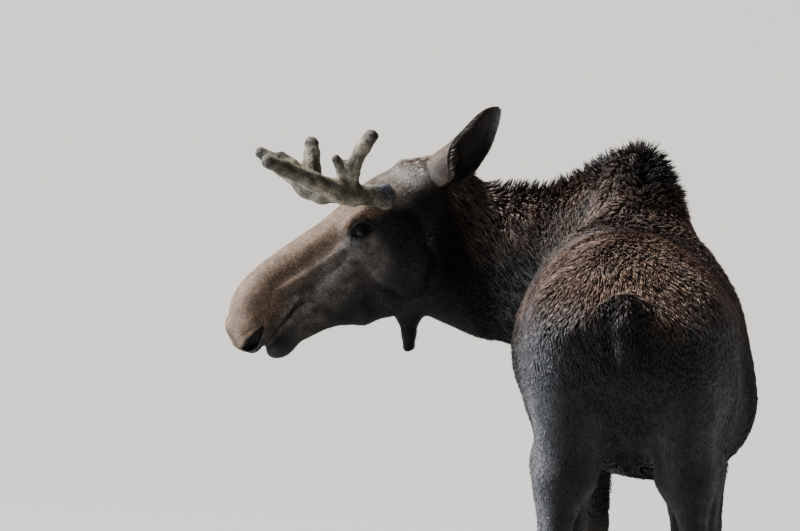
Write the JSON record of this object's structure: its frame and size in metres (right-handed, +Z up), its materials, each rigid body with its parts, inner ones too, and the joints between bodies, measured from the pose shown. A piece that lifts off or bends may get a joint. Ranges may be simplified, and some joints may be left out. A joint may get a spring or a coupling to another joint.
{
  "type": "moose",
  "caption": "Young bull moose in velvet, standing still with its neck bent and its head turned to its left, as a life-size display animal.",
  "frame": {"origin": "centre of the model's box, on the ground", "axes": "+Z up, -Y the way the body faces, +X the animal's left"},
  "size_m": [1.3646, 1.8892, 1.791],
  "materials": {
    "coat": "short dark brown hair with a grey sheen",
    "mane": "long blackish brown hair with red-brown lights",
    "face": "short grey-brown to tan hair",
    "velvet": "grey-brown velvet skin",
    "horn": "worn dark horn",
    "eye": "wet, almost black"
  },
  "bodies": {
    "root": {"antler_left_beam": "velvet", "antler_left_front_tine": "velvet", "antler_left_rear_tine": "velvet", "antler_right_beam": "velvet", "antler_right_front_tine": "velvet", "antler_right_rear_tine": "velvet", "bell": "mane", "ear_left": "face", "ear_right": "face", "eye_left": "eye", "eye_right": "eye", "fore_left_cannon": "coat", "fore_left_dewclaw_inner": "horn", "fore_left_dewclaw_outer": "horn", "fore_left_foot": "coat", "fore_left_forearm": "coat", "fore_left_hoof_inner": "horn", "fore_left_hoof_outer": "horn", "fore_left_shoulder": "coat", "fore_right_cannon": "coat", "fore_right_dewclaw_inner": "horn", "fore_right_dewclaw_outer": "horn", "fore_right_foot": "coat", "fore_right_forearm": "coat", "fore_right_hoof_inner": "horn", "fore_right_hoof_outer": "horn", "fore_right_shoulder": "coat", "head": "face", "hind_left_cannon": "coat", "hind_left_dewclaw_inner": "horn", "hind_left_dewclaw_outer": "horn", "hind_left_foot": "coat", "hind_left_hoof_inner": "horn", "hind_left_hoof_outer": "horn", "hind_left_shank": "coat", "hind_left_thigh": "coat", "hind_right_cannon": "coat", "hind_right_dewclaw_inner": "horn", "hind_right_dewclaw_outer": "horn", "hind_right_foot": "coat", "hind_right_hoof_inner": "horn", "hind_right_hoof_outer": "horn", "hind_right_shank": "coat", "hind_right_thigh": "coat", "lower_jaw": "face", "muzzle": "face", "neck_lower": "mane", "neck_upper": "mane", "tail": "mane", "trunk": "mane"}
  },
  "joints": []
}
